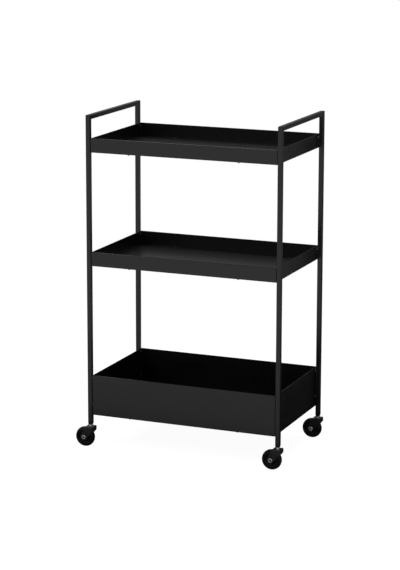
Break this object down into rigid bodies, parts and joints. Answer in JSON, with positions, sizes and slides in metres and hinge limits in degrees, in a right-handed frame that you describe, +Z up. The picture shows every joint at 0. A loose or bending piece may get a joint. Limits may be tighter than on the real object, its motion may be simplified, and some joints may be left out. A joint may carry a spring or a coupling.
{
  "type": "serving cart",
  "caption": "Narrow black steel trolley with a tiered set of shallow and deep trays between square tube legs, handle bars at both ends and swivel casters.",
  "frame": {"origin": "bottom centre of the bounding box, on the floor the wheels stand on", "axes": "+X along the width between the two handle bars, with all casters trailing towards -X; +Y from the front to the rear; +Z up"},
  "size_m": [0.544, 0.315, 0.83],
  "materials": {
    "frame_paint": "satin black powder coat on steel tube",
    "tray_paint": "satin black powder coat on steel sheet",
    "black_plastic": "moulded black nylon",
    "wheel_plastic": "moulded black plastic, half gloss",
    "tyre_rubber": "smooth black rubber",
    "zinc_steel": "zinc plated steel",
    "black_zinc": "black zinc plated steel"
  },
  "bodies": {
    "cart": {"front_left_leg": "frame_paint", "front_left_socket": "black_plastic", "rear_left_leg": "frame_paint", "rear_left_socket": "black_plastic", "front_right_leg": "frame_paint", "front_right_socket": "black_plastic", "rear_right_leg": "frame_paint", "rear_right_socket": "black_plastic", "left_handle_bar": "frame_paint", "right_handle_bar": "frame_paint", "top_tray": "tray_paint", "top_tray_screws": "black_zinc", "top_tray_rivet_nuts": "zinc_steel", "top_tray_plugs": "black_plastic", "middle_tray": "tray_paint", "middle_tray_screws": "black_zinc", "middle_tray_rivet_nuts": "zinc_steel", "middle_tray_plugs": "black_plastic", "bottom_tray": "tray_paint", "bottom_tray_screws": "black_zinc", "bottom_tray_rivet_nuts": "zinc_steel", "bottom_tray_plugs": "black_plastic"},
    "front_left_swivel": {"front_left_fork": "black_plastic", "front_left_stem": "zinc_steel", "front_left_grip_ring": "zinc_steel", "front_left_axle": "zinc_steel"},
    "front_left_wheel": {"front_left_wheel": "wheel_plastic", "front_left_tyre": "tyre_rubber"},
    "rear_left_swivel": {"rear_left_fork": "black_plastic", "rear_left_stem": "zinc_steel", "rear_left_grip_ring": "zinc_steel", "rear_left_axle": "zinc_steel"},
    "rear_left_wheel": {"rear_left_wheel": "wheel_plastic", "rear_left_tyre": "tyre_rubber"},
    "front_right_swivel": {"front_right_fork": "black_plastic", "front_right_stem": "zinc_steel", "front_right_grip_ring": "zinc_steel", "front_right_axle": "zinc_steel"},
    "front_right_wheel": {"front_right_wheel": "wheel_plastic", "front_right_tyre": "tyre_rubber"},
    "rear_right_swivel": {"rear_right_fork": "black_plastic", "rear_right_stem": "zinc_steel", "rear_right_grip_ring": "zinc_steel", "rear_right_axle": "zinc_steel"},
    "rear_right_wheel": {"rear_right_wheel": "wheel_plastic", "rear_right_tyre": "tyre_rubber"}
  },
  "joints": [
    {"name": "front_left_caster_turn", "type": "hinge", "parent": "cart", "child": "front_left_swivel", "pos_m": [-0.232, -0.1445, 0.0531], "axis": [0, 0, 1], "continuous": true},
    {"name": "front_left_wheel_roll", "type": "hinge", "parent": "front_left_swivel", "child": "front_left_wheel", "pos_m": [-0.247, -0.1445, 0.025], "axis": [0, 1, 0], "continuous": true},
    {"name": "rear_left_caster_turn", "type": "hinge", "parent": "cart", "child": "rear_left_swivel", "pos_m": [-0.232, 0.1445, 0.0531], "axis": [0, 0, 1], "continuous": true},
    {"name": "rear_left_wheel_roll", "type": "hinge", "parent": "rear_left_swivel", "child": "rear_left_wheel", "pos_m": [-0.247, 0.1445, 0.025], "axis": [0, 1, 0], "continuous": true},
    {"name": "front_right_caster_turn", "type": "hinge", "parent": "cart", "child": "front_right_swivel", "pos_m": [0.262, -0.1445, 0.0531], "axis": [0, 0, 1], "continuous": true},
    {"name": "front_right_wheel_roll", "type": "hinge", "parent": "front_right_swivel", "child": "front_right_wheel", "pos_m": [0.247, -0.1445, 0.025], "axis": [0, 1, 0], "continuous": true},
    {"name": "rear_right_caster_turn", "type": "hinge", "parent": "cart", "child": "rear_right_swivel", "pos_m": [0.262, 0.1445, 0.0531], "axis": [0, 0, 1], "continuous": true},
    {"name": "rear_right_wheel_roll", "type": "hinge", "parent": "rear_right_swivel", "child": "rear_right_wheel", "pos_m": [0.247, 0.1445, 0.025], "axis": [0, 1, 0], "continuous": true}
  ]
}
